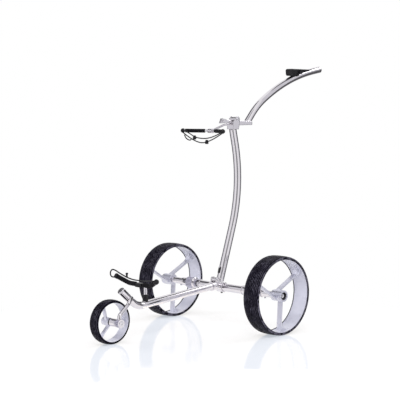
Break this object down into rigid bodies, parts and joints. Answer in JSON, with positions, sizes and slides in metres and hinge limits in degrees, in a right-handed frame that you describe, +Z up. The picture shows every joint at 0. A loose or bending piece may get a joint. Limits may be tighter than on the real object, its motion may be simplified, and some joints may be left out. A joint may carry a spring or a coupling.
{
  "type": "electric golf trolley",
  "caption": "Three-wheeled electric golf trolley of polished tube with a folding upright, a curved handle and padded bag cradles.",
  "frame": {"origin": "on the ground, under the middle of the trolley's box", "axes": "+Z up, the trolley drives towards -Y, its left side is +X"},
  "size_m": [0.65, 1.2477, 1.0331],
  "materials": {
    "polished_steel": "brushed and polished",
    "wheel_metal": "satin silver-white",
    "tyre_rubber": "matt, grooved tread",
    "bright_steel": "bright",
    "black_plastic": "satin black",
    "soft_rubber": "matt black",
    "elastic_cord": "woven black",
    "circuit_board": "satin green"
  },
  "bodies": {
    "chassis": {"cross_tube": "polished_steel", "junction_block": "polished_steel", "fold_pin": "bright_steel", "main_tube": "polished_steel", "main_tube_plug": "polished_steel", "front_arm": "polished_steel", "front_axle_sleeve": "polished_steel", "front_axle": "bright_steel", "front_spacer": "black_plastic", "lower_post": "polished_steel", "lower_collar": "black_plastic", "lower_bracket": "black_plastic", "lower_cradle_rod": "bright_steel", "lower_cradle_pads": "soft_rubber", "lower_cradle_caps": "black_plastic", "lower_strap": "soft_rubber", "lower_strap_peg": "black_plastic", "left_motor_housing": "polished_steel", "right_motor_housing": "polished_steel", "left_gear_motor": "bright_steel", "right_gear_motor": "bright_steel", "left_axle_neck": "polished_steel", "right_axle_neck": "polished_steel", "neck_bearings": "bright_steel", "controller_board": "circuit_board", "battery_socket": "black_plastic"},
    "left_wheel": {"left_rim": "wheel_metal", "left_tyre": "tyre_rubber", "left_drive_axle": "bright_steel", "left_hub_ring": "black_plastic"},
    "right_wheel": {"right_rim": "wheel_metal", "right_tyre": "tyre_rubber", "right_drive_axle": "bright_steel", "right_hub_ring": "black_plastic"},
    "front_wheel": {"front_rim": "wheel_metal", "front_tyre": "tyre_rubber", "front_bearings": "bright_steel"},
    "upright": {"upright_tube": "polished_steel", "upright_foot": "polished_steel", "upright_head": "polished_steel", "joint_bolt": "bright_steel", "upper_holder_arm": "polished_steel"},
    "fold_lever": {"fold_lever": "black_plastic"},
    "handle": {"handle_link": "polished_steel", "handle_tube": "polished_steel", "handle_plug": "polished_steel", "control_housing": "black_plastic", "control_board": "circuit_board"},
    "upper_holder": {"upper_cradle_rod": "bright_steel", "upper_cradle_sleeves": "soft_rubber", "upper_cradle_caps": "black_plastic", "bungee_strand_1": "elastic_cord", "bungee_strand_2": "elastic_cord", "cord_locks": "black_plastic", "bungee_loop": "elastic_cord"},
    "speed_dial": {"speed_dial": "black_plastic"},
    "left_release": {"left_release_button": "bright_steel"},
    "right_release": {"right_release_button": "bright_steel"},
    "left_coupling": {"left_coupling_pin": "black_plastic"},
    "right_coupling": {"right_coupling_pin": "black_plastic"}
  },
  "joints": [
    {"name": "left_wheel_spin", "type": "hinge", "parent": "chassis", "child": "left_wheel", "pos_m": [0.2895, 0.036, 0.15], "axis": [1, 0, 0], "continuous": true},
    {"name": "right_wheel_spin", "type": "hinge", "parent": "chassis", "child": "right_wheel", "pos_m": [-0.2895, 0.036, 0.15], "axis": [1, 0, 0], "continuous": true},
    {"name": "front_wheel_spin", "type": "hinge", "parent": "chassis", "child": "front_wheel", "pos_m": [0, -0.5428, 0.081], "axis": [1, 0, 0], "continuous": true},
    {"name": "upright_fold", "type": "hinge", "parent": "chassis", "child": "upright", "pos_m": [0, -0.002, 0.1835], "axis": [1, 0, 0], "range_deg": [0, 75]},
    {"name": "fold_lever_turn", "type": "hinge", "parent": "upright", "child": "fold_lever", "pos_m": [0, 0.02402, 0.23028], "axis": [-1, 0, 0], "range_deg": [0, 30]},
    {"name": "handle_fold", "type": "hinge", "parent": "upright", "child": "handle", "pos_m": [0, 0.10117, 0.80959], "axis": [1, 0, 0], "range_deg": [0, 120]},
    {"name": "upper_holder_tilt", "type": "hinge", "parent": "upright", "child": "upper_holder", "pos_m": [0, -0.03133, 0.76509], "axis": [1, 0, 0], "range_deg": [-40, 40]},
    {"name": "speed_dial_turn", "type": "hinge", "parent": "handle", "child": "speed_dial", "pos_m": [0.02, 0.47617, 1.00409], "axis": [1, 0, 0], "range_deg": [0, 270]},
    {"name": "left_release_press", "type": "slide", "parent": "left_wheel", "child": "left_release", "axis": [1, 0, 0], "range_m": [-0.003, 0], "stiffness_N_per_m": 300, "springref_m": 0.002},
    {"name": "right_release_press", "type": "slide", "parent": "right_wheel", "child": "right_release", "axis": [-1, 0, 0], "range_m": [-0.003, 0], "stiffness_N_per_m": 300, "springref_m": 0.002},
    {"name": "left_coupling_pull", "type": "slide", "parent": "chassis", "child": "left_coupling", "axis": [0, 0, -1], "range_m": [0, 0.003], "stiffness_N_per_m": 300, "springref_m": -0.002},
    {"name": "right_coupling_pull", "type": "slide", "parent": "chassis", "child": "right_coupling", "axis": [0, 0, -1], "range_m": [0, 0.003], "stiffness_N_per_m": 300, "springref_m": -0.002}
  ]
}
